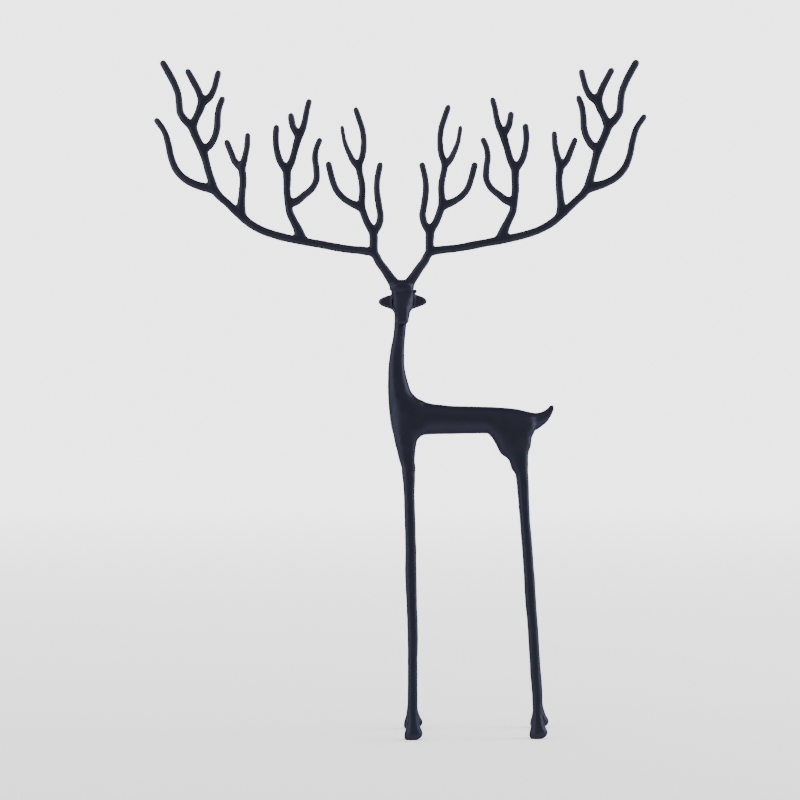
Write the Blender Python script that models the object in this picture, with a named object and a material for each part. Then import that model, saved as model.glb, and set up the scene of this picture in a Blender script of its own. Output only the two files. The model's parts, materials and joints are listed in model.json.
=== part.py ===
"""A standing deer cast in aluminium, with its head turned and wide, many-tined antlers.

The deer stands along X, with its chest to -X and its tail to +X, and it looks towards -Y.
Z is up, and the origin is on the floor under the middle of the whole casting. It is one solid:
each limb is a loft or a tube that starts inside its neighbour, and one union joins them all.
"""

import math

import bmesh
import bpy
import numpy as np
from mathutils import Matrix

# Driving sizes, in metres
WITHERS_HEIGHT = 0.2991   # floor to the top of the back
NECK_RISE = 0.105         # top of the back to the base of the crown
STANCE_WIDTH = 0.085      # between the middles of the left and the right soles
HIP_WIDTH = 0.014         # between the leg axes where they enter the trunk
REAR_STAGGER = 0.0053     # how far the off-side rear hoof stands behind the near one
REAR_SHIFT = 0.008        # how far the rear pair of hooves stands to the off side
SPLAY_POWER = 1.5         # how late in its length the off-side rear leg bends towards its hoof
HOOF_HEIGHT = 0.024       # floor to where the hoof runs out into the leg
HOOF_WIDTH = 0.0132       # across a near-side hoof at its widest
OFF_HOOF_WIDTH = 0.0140   # the same on the off side
HEAD_LENGTH = 0.0365      # poll to nose
HEAD_WIDTH = 0.0190       # across the skull
EAR_REACH = 0.0217        # middle of the head to the tip of an ear
EAR_HEIGHT = 0.0149       # across an ear at its root
EAR_THICKNESS = 0.0060
EYE_DIAMETER = 0.0026
ANTLER_REACH = 0.2242     # middle plane to the outermost tip
BEAM_WIDTH = 0.0072       # an antler's main beam, seen from the front
TINE_WIDTH = 0.0055       # a tine, seen from the front
ANTLER_DEPTH = 0.92       # thickness of beam and tines, as a share of their width
ANTLER_SWEEP = 0.008      # how far the outermost tip lies behind the crown
ANTLER_MIDDLE = 0.0006    # how far the antlers' middle plane stands behind the neck's own
ANTLER_RISE = 0.0007      # how far above level the right outermost tip stands, and the left one below

# How finely the forms are cut into flat faces
RING_SPACING = 0.0080
TINE_SIDES = 6
LEG_SIDES = 10
TRUNK_SIDES = 12
EYE_SIDES = 8
EYE_RINGS = 6
BODY_ROUNDNESS = 2.3      # 2 is a true ellipse, more is squarer

ALUMINIUM_DARK = (0.022, 0.022, 0.030, 1.0)
ALUMINIUM_ROUGHNESS = 0.36

# Body rows are in thousandths of WITHERS_HEIGHT. A leg row is its height above the floor, its front
# edge, its back edge and its half thickness; the edges are measured from the middle of the sole.
FRONT_SOLE = 38
REAR_SOLE = 410
FRONT_LEG = (
    (80, -13, 13, 13), (150, -13, 13, 13), (233, -13, 13, 13), (310, -14, 14, 14),
    (410, -18, 12, 14), (490, -21, 11, 14), (573, -21, 9, 14), (655, -23, 7, 14),
    (720, -25, 5, 14), (763, -28, 6, 15), (787, -31, 6, 15), (802, -32, 8, 16),
    (825, -38, 5, 17), (853, -45, 7, 19), (883, -53, 12, 21), (894, -55, 18, 21),
    (902, -57, 27, 22), (908, -58, 43, 22), (933, -62, 45, 22), (967, -66, 53, 17),
)
REAR_LEG = (
    (80, -13, 12, 13), (120, -14, 12, 13), (200, -20, 7, 13), (277, -24, 4, 14),
    (343, -28, 0, 14), (410, -34, -4, 14), (523, -39, -11, 14), (583, -43, -15, 14),
    (643, -47, -20, 14), (709, -52, -23, 14), (757, -56, -24, 15), (785, -60, -25, 16),
    (799, -71, -26, 17), (825, -79, -26, 19), (835, -87, -26, 20), (843, -100, -25, 21),
    (851, -107, -24, 21), (872, -117, -17, 23), (895, -131, -14, 25), (904, -139, -10, 25),
    (909, -146, -7, 25), (920, -150, -3, 25), (957, -135, -5, 18),
)
# A trunk row is its place from the middle of the deer, its underside, its top and its half thickness.
# The last four rows are the tail.
TRUNK = (
    (-23, 927, 970, 20), (3, 905, 993, 33), (50, 904, 1001, 40), (80, 905, 999, 41),
    (105, 906, 995, 42), (180, 908, 989, 42), (257, 909, 987, 42), (317, 906, 984, 42),
    (353, 904, 980, 40), (383, 906, 973, 37), (410, 918, 968, 28), (430, 932, 972, 21),
    (447, 948, 982, 15), (458, 967, 994, 10), (464, 981, 993, 5),
)
# A breast or neck row is its height, its front edge, its back edge and its half thickness. The heights
# of the neck rows are in thousandths of NECK_RISE, above the back.
BREAST = (
    (880, -13, 45, 17), (907, -19, 57, 28), (933, -26, 73, 37), (963, -30, 90, 40),
)
NECK = (
    (0, -33, 77, 38), (34, -34, 54, 37), (92, -35, 34, 33), (157, -35, 25, 30),
    (229, -35, 18, 27), (352, -32, 12, 23), (457, -27, 12, 22), (557, -20, 14, 21),
    (667, -16, 18, 21), (762, -15, 24, 21), (790, -19, 31, 21), (815, -24, 37, 21),
    (850, -24, 38, 20),
)

# A hoof row is its height in thousandths of HOOF_HEIGHT, and its front edge, back edge and half
# thickness in thousandths of its own side's hoof width. The first row is the flat sole.
HOOF = (
    (0, -440, 190, 290), (42, -520, 400, 400), (125, -538, 590, 470), (250, -508, 644, 500),
    (417, -424, 500, 440), (667, -341, 356, 356),
)

# The head is lofted along a line from poll to nose. A row is its place along that line in thousandths
# of HEAD_LENGTH, its half width, brow height and jaw depth in thousandths of HEAD_WIDTH, and the share of
# its width, in thousandths too, that is the flat of the brow or of the bridge of the nose.
HEAD_MIDDLE = 12.5        # the skull stands this many thousandths of WITHERS_HEIGHT behind the middle
HEAD_PITCH = math.radians(50)     # how far below level the nose points
HEAD_TURN = math.radians(5.6)     # how far it points to the chest's side of -Y
POLL_BACK = 0.005         # how far the poll lies behind the middle plane of the antlers
POLL_DROP = 0.0055        # how far the poll lies below the base of the crown
HEAD = (
    (-60, 330, 300, 220, 800), (60, 492, 420, 360, 880), (200, 505, 430, 420, 840),
    (330, 495, 405, 430, 600), (430, 478, 380, 420, 480), (530, 425, 350, 390, 480),
    (640, 345, 320, 340, 560), (820, 325, 265, 260, 560), (950, 312, 215, 200, 560),
    (1030, 250, 130, 120, 560),
)
CHEEK_HEIGHT = 0.45       # share of the brow height where the cheek is widest
JAW_FLAT = 0.45           # share of the width that is flat below the jaw
EAR_MIDDLE = 8            # the ears' own middle, in the same terms as HEAD_MIDDLE
# An ear row is its place in thousandths of EAR_REACH and its height and thickness in thousandths of
# the ear's own sizes.
EAR = (
    (230, 1000, 1000), (420, 900, 950), (560, 775, 850), (700, 645, 720),
    (840, 490, 600), (945, 300, 450), (1000, 110, 200),
)
EAR_DROP = 0.0135         # the ears' line below the base of the crown
EAR_TILT = 0.0003         # how far the right ear stands above that line, and the left one below it
EYE_FORWARD = 0.001       # how far the eyes lie in front of the antlers' middle plane
LEFT_EYE_OUT = 0.0115     # middle of the skull to the middle of an eye
LEFT_EYE_DROP = 0.0020    # below the base of the crown
RIGHT_EYE_OUT = 0.0097
RIGHT_EYE_DROP = 0.0043
# The crown is the low saddle between the antlers. A row is its height above the base of the crown, its
# half width and its half thickness, in thousandths of ANTLER_REACH.
CROWN_MIDDLE = 0.0017     # how far the crown stands behind the neck's own middle plane
CROWN = (
    (-45, 23, 18), (-28, 32, 24), (-20, 37, 27), (-11, 45, 31), (-3, 49, 32), (10, 43, 30),
    (20, 30, 24), (26, 13, 15),
)

# An antler is a main beam and the branches that leave it. Points are (out from the middle plane, up from
# the base of the crown) in thousandths of ANTLER_REACH. A branch starts on its parent at the parent's
# point of that number. Root and tip widths are shares of BEAM_WIDTH for the beam and of TINE_WIDTH for
# the rest. The lean is how far the tip stands out of the antler's plane, and the hand is how far the
# right tip stands out and up of where an exact mirror of the left one would be, both in thousandths too.
# The flare is the extra width of a branch at its root, and the swell that of its parent there.
BRANCHES = {
    "beam": {
        "points": (
            (10, -22), (31, 14), (51, 43), (66, 66), (90, 98), (113, 136), (152, 146), (204, 151),
            (324, 172), (405, 187), (485, 204), (564, 231), (611, 258), (649, 291), (703, 342),
            (737, 373), (753, 397), (764, 432), (774, 465), (800, 555), (818, 592), (832, 624),
            (840, 645), (870, 677), (886, 702), (891, 738), (895, 779), (908, 816), (937, 873),
            (954, 903),
        ),
        "parent": None, "leaves": 0, "root": 0.94, "tip": 0.81, "lean": -12, "hand": (-9, -4),
        "flare": 1.05, "swell": 0,
    },
    "inner": {
        "points": (
            (113, 186), (115, 216), (140, 263), (154, 300), (161, 324), (162, 350), (159, 394),
            (163, 432), (170, 464), (172, 486), (158, 537), (154, 586), (158, 633), (173, 681),
            (186, 719),
        ),
        "parent": "beam", "leaves": 5, "root": 1.12, "tip": 0.84, "lean": 14, "hand": (11, 9),
        "flare": 0.35, "swell": 0.04,
    },
    "inner_low": {
        "points": ((91, 254), (85, 284), (91, 327), (98, 378), (97, 432), (89, 470), (85, 488)),
        "parent": "inner", "leaves": 2, "root": 1.08, "tip": 0.90, "lean": -14, "hand": (4, 0),
        "flare": 0.20, "swell": 0.22,
    },
    "inner_out": {
        "points": ((206, 340), (237, 360), (264, 392), (281, 438), (294, 490)),
        "parent": "inner", "leaves": 5, "root": 0.98, "tip": 0.96, "lean": -10, "hand": (8, -4),
        "flare": 0.80, "swell": 0.12,
    },
    "inner_thin": {
        "points": ((195, 509), (212, 541), (227, 579), (238, 640)),
        "parent": "inner", "leaves": 10, "root": 0.92, "tip": 0.56, "lean": -16, "hand": (5, -2),
        "flare": 0.40, "swell": 0.06,
    },
    "middle": {
        "points": (
            (415, 228), (434, 268), (451, 306), (455, 338), (461, 391), (460, 436), (460, 469),
            (441, 510), (431, 544), (421, 582), (412, 611), (395, 647), (386, 682), (380, 716),
            (371, 751),
        ),
        "parent": "beam", "leaves": 9, "root": 1.18, "tip": 0.86, "lean": 16, "hand": (2, 4),
        "flare": 1.20, "swell": 0.08,
    },
    "middle_in": {
        "points": (
            (422, 347), (391, 371), (361, 396), (342, 434), (342, 472), (348, 527), (340, 566),
            (330, 588),
        ),
        "parent": "middle", "leaves": 4, "root": 1.06, "tip": 0.88, "lean": -14, "hand": (7, 0),
        "flare": 0.60, "swell": 0.06,
    },
    "middle_out": {
        "points": ((487, 507), (501, 553), (505, 600), (502, 642)),
        "parent": "middle", "leaves": 7, "root": 1.02, "tip": 0.94, "lean": -12, "hand": (3, 2),
        "flare": 0.35, "swell": 0.34,
    },
    "middle_short": {
        "points": ((435, 647), (441, 674), (443, 690)),
        "parent": "middle", "leaves": 11, "root": 0.98, "tip": 0.92, "lean": -8, "hand": (3, 4),
        "flare": 0.35, "swell": 0.32,
    },
    "outer_in": {
        "points": (
            (644, 345), (639, 394), (637, 438), (641, 479), (629, 526), (621, 564), (618, 612),
        ),
        "parent": "beam", "leaves": 13, "root": 1.12, "tip": 0.86, "lean": -14, "hand": (3, 3),
        "flare": 0.90, "swell": 0.14,
    },
    "outer_in_short": {
        "points": ((669, 507), (685, 544), (703, 588)),
        "parent": "outer_in", "leaves": 4, "root": 0.98, "tip": 0.86, "lean": 10, "hand": (2, 4),
        "flare": 0.35, "swell": 0.26,
    },
    "outermost": {
        "points": (
            (795, 406), (834, 419), (876, 444), (907, 479), (927, 527), (939, 584), (956, 638),
            (986, 682),
        ),
        "parent": "beam", "leaves": 16, "root": 1.24, "tip": 0.88, "lean": 18, "hand": (-2, 8),
        "flare": 0.50, "swell": 0.16,
    },
    "outer_low": {
        "points": ((777, 567), (752, 602), (741, 640), (739, 680), (734, 723), (721, 760)),
        "parent": "beam", "leaves": 19, "root": 1.06, "tip": 0.94, "lean": 12, "hand": (-1, 0),
        "flare": 0.34, "swell": 0.26,
    },
    "top_in": {
        "points": (
            (826, 680), (810, 714), (798, 746), (768, 770), (753, 798), (742, 836), (735, 867),
        ),
        "parent": "beam", "leaves": 22, "root": 1.10, "tip": 0.92, "lean": 14, "hand": (-6, 0),
        "flare": 0.30, "swell": 0.26,
    },
    "top_out": {
        "points": ((812, 789), (833, 831), (854, 870)),
        "parent": "top_in", "leaves": 3, "root": 1.02, "tip": 0.94, "lean": -10, "hand": (-8, -1),
        "flare": 0.40, "swell": 0.32,
    },
}
HAND_AT_KNEE = (9, 2)     # the beam's own hand up to where it turns outwards
KNEE = 0.172              # share of the beam's points that come before it turns outwards
CROWN_FLARE_LENGTH = 0.010    # how fast the beam's flare dies away
FLARE_LENGTH = 0.0065          # how fast a tine's flare dies away
SWELL_LENGTH = 0.0095         # how far a swell reaches along the parent
TIP_STEPS = (35, 70)          # degrees round a tine's rounded end


def clear_scene():
    """Start from an empty scene."""
    for old in list(bpy.data.objects):
        bpy.data.objects.remove(old, do_unlink=True)


def dark_aluminium():
    """The dark satin finish that covers the whole casting."""
    material = bpy.data.materials.new("dark_aluminium")
    material.use_nodes = True
    shader = material.node_tree.nodes["Principled BSDF"]
    shader.inputs["Base Color"].default_value = ALUMINIUM_DARK
    shader.inputs["Metallic"].default_value = 1.0
    shader.inputs["Roughness"].default_value = ALUMINIUM_ROUGHNESS
    material.diffuse_color = ALUMINIUM_DARK
    return material


def rounded_outline(sides):
    """Points round a slightly squared circle of radius 1, as two columns."""
    turn = 2 * math.pi * np.arange(sides) / sides
    power = 2 / BODY_ROUNDNESS
    across = np.sign(np.cos(turn)) * np.abs(np.cos(turn)) ** power
    upward = np.sign(np.sin(turn)) * np.abs(np.sin(turn)) ** power
    return np.column_stack((across, upward))


def loft(name, rings):
    """A closed solid through rings of points, with a flat fan over each end."""
    mesh_data = bmesh.new()
    grid = [[mesh_data.verts.new(point) for point in ring] for ring in rings]
    sides = len(grid[0])
    for lower, upper in zip(grid, grid[1:]):
        for i in range(sides):
            j = (i + 1) % sides
            mesh_data.faces.new((lower[i], lower[j], upper[j], upper[i]))
    for ring in (grid[0], grid[-1]):
        middle = mesh_data.verts.new(np.mean([v.co for v in ring], axis=0))
        for i in range(sides):
            mesh_data.faces.new((ring[i], ring[(i + 1) % sides], middle))
    bmesh.ops.recalc_face_normals(mesh_data, faces=mesh_data.faces)
    mesh = bpy.data.meshes.new(name)
    mesh_data.to_mesh(mesh)
    mesh_data.free()
    return bpy.data.objects.new(name, mesh)


def upright_rings(heights, fronts, backs, half_depths, depth_middles, sides):
    """Level rings, one at each height, between a front and a back edge."""
    outline = rounded_outline(sides)
    rings = []
    for z, front, back, half_depth, middle in zip(heights, fronts, backs, half_depths, depth_middles):
        x = (front + back) / 2 + outline[:, 0] * (back - front) / 2
        y = middle + outline[:, 1] * half_depth
        rings.append(np.column_stack((x, y, np.full(sides, z))))
    return rings


def leg(name, rows, sole, side, stagger, shift):
    """One leg with its hoof, from the sole up into the trunk; side is -1 for near, 1 for off."""
    width = OFF_HOOF_WIDTH if side > 0 else HOOF_WIDTH
    hoof = np.array(HOOF) / 1000 * (HOOF_HEIGHT, width, width, width)
    shaft = np.array(rows) / 1000 * WITHERS_HEIGHT
    shaft[0, 0] = HOOF_HEIGHT
    stack = np.vstack((hoof, shaft))
    drop = 1 - stack[:, 0] / stack[-1, 0]
    place = sole / 1000 * WITHERS_HEIGHT + stagger * drop**SPLAY_POWER
    spread = STANCE_WIDTH / 2 * drop + HIP_WIDTH / 2 * (1 - drop)
    rings = upright_rings(
        stack[:, 0], place + stack[:, 1], place + stack[:, 2], stack[:, 3],
        side * spread + shift * drop, LEG_SIDES)
    return loft(name, rings)


def trunk():
    """Trunk and tail, lofted from the shoulder to the tip of the tail."""
    outline = rounded_outline(TRUNK_SIDES)
    rings = []
    for x, under, top, half_depth in np.array(TRUNK) / 1000 * WITHERS_HEIGHT:
        z = (under + top) / 2 + outline[:, 1] * (top - under) / 2
        rings.append(np.column_stack((np.full(TRUNK_SIDES, x), outline[:, 0] * half_depth, z)))
    return loft("trunk", rings)


def neck():
    """Breast and neck, lofted upwards from between the front legs to the skull."""
    breast = np.array(BREAST) / 1000 * WITHERS_HEIGHT
    column = np.array(NECK) / 1000 * WITHERS_HEIGHT
    column[:, 0] = WITHERS_HEIGHT + np.array(NECK)[:, 0] / 1000 * NECK_RISE
    rows = np.vstack((breast, column))
    middles = np.zeros(len(rows))
    rings = upright_rings(rows[:, 0], rows[:, 1], rows[:, 2], rows[:, 3], middles, TRUNK_SIDES)
    return loft("neck", rings)


def head():
    """Skull and muzzle: a flat bridge above, sloping cheeks and a narrower jaw."""
    poll = np.array((
        HEAD_MIDDLE / 1000 * WITHERS_HEIGHT, POLL_BACK, WITHERS_HEIGHT + NECK_RISE - POLL_DROP))
    ahead = np.array((-math.sin(HEAD_TURN), -math.cos(HEAD_TURN), 0))
    sideways = np.array((math.cos(HEAD_TURN), -math.sin(HEAD_TURN), 0))
    upright = np.array((0, 0, 1.0))
    to_nose = ahead * math.cos(HEAD_PITCH) - upright * math.sin(HEAD_PITCH)
    brow_up = ahead * math.sin(HEAD_PITCH) + upright * math.cos(HEAD_PITCH)
    rings = []
    for along, half_width, brow, jaw, flat in np.array(HEAD) / 1000:
        middle = poll + to_nose * along * HEAD_LENGTH
        section = (
            (flat, brow), (1, brow * CHEEK_HEIGHT), (1, 0), (JAW_FLAT, -jaw),
            (-JAW_FLAT, -jaw), (-1, 0), (-1, brow * CHEEK_HEIGHT), (-flat, brow))
        rings.append([
            middle + sideways * across * half_width * HEAD_WIDTH + brow_up * height * HEAD_WIDTH
            for across, height in section])
    return loft("head", rings)


def ear(name, side):
    """A level, leaf-shaped ear; side is -1 or 1."""
    outline = rounded_outline(LEG_SIDES)
    middle = EAR_MIDDLE / 1000 * WITHERS_HEIGHT
    level = WITHERS_HEIGHT + NECK_RISE - EAR_DROP + side * EAR_TILT
    rings = []
    for out, height, thickness in np.array(EAR) / 1000:
        x = np.full(LEG_SIDES, middle + side * out * EAR_REACH)
        y = outline[:, 0] * thickness * EAR_THICKNESS / 2
        z = level + outline[:, 1] * height * EAR_HEIGHT / 2
        rings.append(np.column_stack((x, y, z)))
    return loft(name, rings)


def eye(name, side, out, drop):
    """A small bead beside the skull."""
    mesh = bpy.data.meshes.new(name)
    ball = bmesh.new()
    bmesh.ops.create_uvsphere(ball, u_segments=EYE_SIDES, v_segments=EYE_RINGS, radius=EYE_DIAMETER / 2)
    middle = (
        HEAD_MIDDLE / 1000 * WITHERS_HEIGHT + side * out, -EYE_FORWARD,
        WITHERS_HEIGHT + NECK_RISE - drop)
    bmesh.ops.translate(ball, verts=ball.verts, vec=middle)
    ball.to_mesh(mesh)
    ball.free()
    return bpy.data.objects.new(name, mesh)


def crown():
    """The low saddle of metal between the roots of the antlers."""
    rows = np.array(CROWN) / 1000 * ANTLER_REACH
    heights = WITHERS_HEIGHT + NECK_RISE + rows[:, 0]
    fronts, backs = CROWN_MIDDLE - rows[:, 1], CROWN_MIDDLE + rows[:, 1]
    return loft("crown", upright_rings(heights, fronts, backs, rows[:, 2], 0 * heights, LEG_SIDES))


def smooth_path(points, spacing):
    """Points about a spacing apart on the cubic curve through the given points."""
    points = np.asarray(points, float)
    reach = np.concatenate(([0], np.cumsum(np.linalg.norm(np.diff(points, axis=0), axis=1))))
    slopes = np.gradient(points, reach, axis=0)
    path = [points[0]]
    for i in range(len(points) - 1):
        length = reach[i + 1] - reach[i]
        steps = max(1, round(length / spacing))
        for t in np.arange(1, steps + 1) / steps:
            path.append(
                points[i] * (2 * t**3 - 3 * t**2 + 1) + slopes[i] * length * (t**3 - 2 * t**2 + t)
                + points[i + 1] * (3 * t**2 - 2 * t**3) + slopes[i + 1] * length * (t**3 - t**2))
    return np.array(path)


def tube(name, path, widths, depths):
    """A tube of flattened round section along a path, with a rounded far end."""
    along = np.gradient(path, axis=0)
    along /= np.linalg.norm(along, axis=1)[:, None]
    end, tip_radius = path[-1], widths[-1] / 2
    for degrees in TIP_STEPS:
        shrink = math.cos(math.radians(degrees))
        path = np.vstack((path, end + along[-1] * tip_radius * math.sin(math.radians(degrees))))
        along = np.vstack((along, along[-1]))
        widths = np.append(widths, 2 * tip_radius * shrink)
        depths = np.append(depths, 2 * tip_radius * ANTLER_DEPTH * shrink)
    across = np.cross((0, 1, 0), along)
    across /= np.linalg.norm(across, axis=1)[:, None]
    deep = np.cross(along, across)
    turn = 2 * math.pi * np.arange(TINE_SIDES) / TINE_SIDES
    rings = (
        path[:, None, :]
        + across[:, None, :] * (widths[:, None] / 2 * np.cos(turn))[:, :, None]
        + deep[:, None, :] * (depths[:, None] / 2 * np.sin(turn))[:, :, None])
    return loft(name, rings)


def branch_pattern(name):
    """A branch's own points, with the hand and the lean at each of them."""
    branch = BRANCHES[name]
    own = np.array(branch["points"], float)
    if branch["parent"] is None:
        start_hand, start_lean = np.array(HAND_AT_KNEE), 0.0
    else:
        parent_points, parent_hands, parent_leans = branch_pattern(branch["parent"])
        start = branch["leaves"]
        own = np.vstack((parent_points[start], own))
        start_hand, start_lean = parent_hands[start], parent_leans[start]
    share = np.linspace(0, 1, len(own))
    leans = start_lean + (branch["lean"] - start_lean) * share
    if branch["parent"] is None:
        share = np.clip((share - KNEE) / (1 - KNEE), 0, 1)
    hands = start_hand + (np.array(branch["hand"]) - start_hand) * share[:, None]
    return own, hands, leans


def branch_points(name, side):
    """A branch's points in space; side is -1 for the left antler and 1 for the right."""
    pattern, hands, leans = branch_pattern(name)
    placed = (pattern + side * hands / 2) / 1000 * ANTLER_REACH
    share = pattern[:, 0] / 1000
    sweep = ANTLER_SWEEP * share**2 + leans / 1000 * ANTLER_REACH
    height = WITHERS_HEIGHT + NECK_RISE + placed[:, 1] + side * ANTLER_RISE * share
    return np.column_stack((ANTLER_MIDDLE + side * placed[:, 0], sweep, height))


def antler(side):
    """The tubes of one antler."""
    tubes = []
    for name, branch in BRANCHES.items():
        path = smooth_path(branch_points(name, side), RING_SPACING)
        run = np.concatenate(([0], np.cumsum(np.linalg.norm(np.diff(path, axis=0), axis=1))))
        is_beam = branch["parent"] is None
        stock = BEAM_WIDTH if is_beam else TINE_WIDTH
        flare_length = CROWN_FLARE_LENGTH if is_beam else FLARE_LENGTH
        plain = stock * (branch["root"] + (branch["tip"] - branch["root"]) * run / run[-1])
        extra = branch["flare"] * np.exp(-run / flare_length)
        for child_name, child in BRANCHES.items():
            if child["parent"] == name:
                fork = branch_points(child_name, side)[0]
                away = np.linalg.norm(path - fork, axis=1)
                extra += child["swell"] * np.exp(-(away / SWELL_LENGTH) ** 2)
        tubes.append(tube(f"antler_{side}_{name}", path, plain * (1 + extra), plain * ANTLER_DEPTH))
    return tubes


def join(name, parts, material):
    """One solid from all the parts, standing over the middle of its own outline."""
    limbs = bpy.data.collections.new("limbs")
    bpy.context.scene.collection.children.link(limbs)
    body, rest = parts[0], parts[1:]
    bpy.context.scene.collection.objects.link(body)
    for limb in rest:
        limbs.objects.link(limb)
    union = body.modifiers.new("union", "BOOLEAN")
    union.operation = "UNION"
    union.solver = "EXACT"
    union.operand_type = "COLLECTION"
    union.collection = limbs
    evaluated = body.evaluated_get(bpy.context.evaluated_depsgraph_get())
    mesh = bpy.data.meshes.new_from_object(evaluated)
    corners = np.array([vertex.co for vertex in mesh.vertices])
    low, high = corners.min(axis=0), corners.max(axis=0)
    shift = -(low + high) / 2
    shift[2] = 0
    mesh.transform(Matrix.Translation(shift))
    for part in parts:
        bpy.data.objects.remove(part, do_unlink=True)
    bpy.data.collections.remove(limbs)
    mesh.materials.clear()
    mesh.materials.append(material)
    mesh.name = name
    casting = bpy.data.objects.new(name, mesh)
    bpy.context.scene.collection.objects.link(casting)
    return casting


def build():
    """Make the deer."""
    clear_scene()
    parts = [trunk(), neck(), head(), crown()]
    for name, side in (("near", -1), ("off", 1)):
        stagger = max(side, 0) * REAR_STAGGER
        parts.append(leg(f"front_leg_{name}", FRONT_LEG, FRONT_SOLE, side, 0, 0))
        parts.append(leg(f"rear_leg_{name}", REAR_LEG, REAR_SOLE, side, stagger, REAR_SHIFT))
    parts.append(eye("eye_left", -1, LEFT_EYE_OUT, LEFT_EYE_DROP))
    parts.append(eye("eye_right", 1, RIGHT_EYE_OUT, RIGHT_EYE_DROP))
    for name, side in (("left", -1), ("right", 1)):
        parts.append(ear(f"ear_{name}", side))
        parts.extend(antler(side))
    join("deer", parts, dark_aluminium())


build()
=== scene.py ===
# %% [markdown]
# # A deer cast in aluminium
#
# The CAD model is loaded as a fixed frame. Its one solid is then made again, finely: every limb is a
# surface worked out from a few named sizes, the limbs are melted into one skin as molten metal runs
# together in a mould, and the skin gets the dark satin finish of the real casting.

# %% Load the CAD model
import json
import math

import bmesh
import bpy
import numpy as np
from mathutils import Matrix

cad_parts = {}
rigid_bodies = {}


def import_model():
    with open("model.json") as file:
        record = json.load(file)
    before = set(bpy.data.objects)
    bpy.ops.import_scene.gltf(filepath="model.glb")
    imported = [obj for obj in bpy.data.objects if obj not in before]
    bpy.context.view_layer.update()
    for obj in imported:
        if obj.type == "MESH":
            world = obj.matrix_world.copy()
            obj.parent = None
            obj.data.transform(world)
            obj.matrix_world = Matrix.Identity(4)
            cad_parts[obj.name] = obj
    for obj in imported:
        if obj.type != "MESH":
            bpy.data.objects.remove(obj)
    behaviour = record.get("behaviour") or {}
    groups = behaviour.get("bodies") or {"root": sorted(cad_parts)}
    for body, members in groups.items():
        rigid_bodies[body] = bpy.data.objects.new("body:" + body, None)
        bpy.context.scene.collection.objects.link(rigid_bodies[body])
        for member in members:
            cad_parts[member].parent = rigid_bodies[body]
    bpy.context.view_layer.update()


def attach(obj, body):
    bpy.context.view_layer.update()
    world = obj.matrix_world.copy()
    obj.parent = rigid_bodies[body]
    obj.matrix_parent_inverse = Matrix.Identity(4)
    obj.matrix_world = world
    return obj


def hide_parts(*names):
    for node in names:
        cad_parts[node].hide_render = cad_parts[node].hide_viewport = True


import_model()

# %% [markdown]
# ## Sizes
#
# All lengths are in metres. The tables are in thousandths of the size that each comment names, so that
# a taller deer keeps its shape.

# %% Driving sizes
WITHERS_HEIGHT = 0.2991   # floor to the top of the back
NECK_RISE = 0.105         # top of the back to the base of the crown
STANCE_WIDTH = 0.085      # between the middles of the left and the right soles
HIP_WIDTH = 0.014         # between the leg axes where they enter the trunk
REAR_STAGGER = 0.0053     # how far the off-side rear hoof stands behind the near one
REAR_SHIFT = 0.008        # how far the rear pair of hooves stands to the off side
SPLAY_POWER = 1.5         # how late in its length the off-side rear leg bends towards its hoof
HOOF_HEIGHT = 0.024       # floor to where the hoof runs out into the leg
HOOF_WIDTH = 0.0132       # across a near-side hoof at its widest
OFF_HOOF_WIDTH = 0.0140   # the same on the off side
HEAD_LENGTH = 0.0365      # poll to nose
HEAD_WIDTH = 0.0190       # across the skull
EAR_REACH = 0.0217        # middle of the head to the tip of an ear
EAR_HEIGHT = 0.0149       # across an ear at its root
EAR_THICKNESS = 0.0060
EAR_CUP = 0.0022          # how deep the hollow of an ear is
EYE_DIAMETER = 0.0027
ANTLER_REACH = 0.2242     # middle plane to the outermost tip
BEAM_WIDTH = 0.0072       # an antler's main beam, seen from the front
TINE_WIDTH = 0.0055       # a tine, seen from the front
ANTLER_DEPTH = 0.92       # thickness of beam and tines, as a share of their width
ANTLER_SWEEP = 0.008      # how far the outermost tip lies behind the crown
ANTLER_MIDDLE = 0.0006    # how far the antlers' middle plane stands behind the neck's own
ANTLER_RISE = 0.0007      # how far above level the right outermost tip stands, and the left one below
BODY_ROUNDNESS = 2.3      # 2 is a true ellipse, more is squarer
CROWN_BASE = WITHERS_HEIGHT + NECK_RISE
print("height of the crown's base, mm:", round(1000 * CROWN_BASE, 1))

# %% How finely the surfaces are made, and how far the metal runs together
VOXEL = 0.00118
RING_STEP = 0.0012
TINE_SIDES = 20
BODY_SIDES = 40
MELT = 0.35e-6        # square metres: a groove of radius r closes when MELT is about half of r squared
MELT_RATE = 0.5       # share of the way to the mean of its neighbours that a point moves in one step
BODY_MELT = 16e-6     # the same for the shoulders and haunches, in depth only
BODY_MELT_STARTS = (0.225, 0.255)  # heights between which the body's melt sets in
BODY_MELT_ENDS = (0.335, 0.365)    # heights between which it dies away again
SOLE_DEEPER = 0.0006  # the hooves are made this much too long and are ground flat at the floor
TIP_LONGER = 0.00015  # a rounded tip melts back by about this much
TIP_RINGS = 8         # rings that round off a tip
TIP_TURN = 85         # degrees that they turn through; the last bit is closed by the fan
HEAD_GROWTH = 0.0002  # brow and jaw are made this much too far out, for the same reason
print("voxel, mm:", 1000 * VOXEL)

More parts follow.
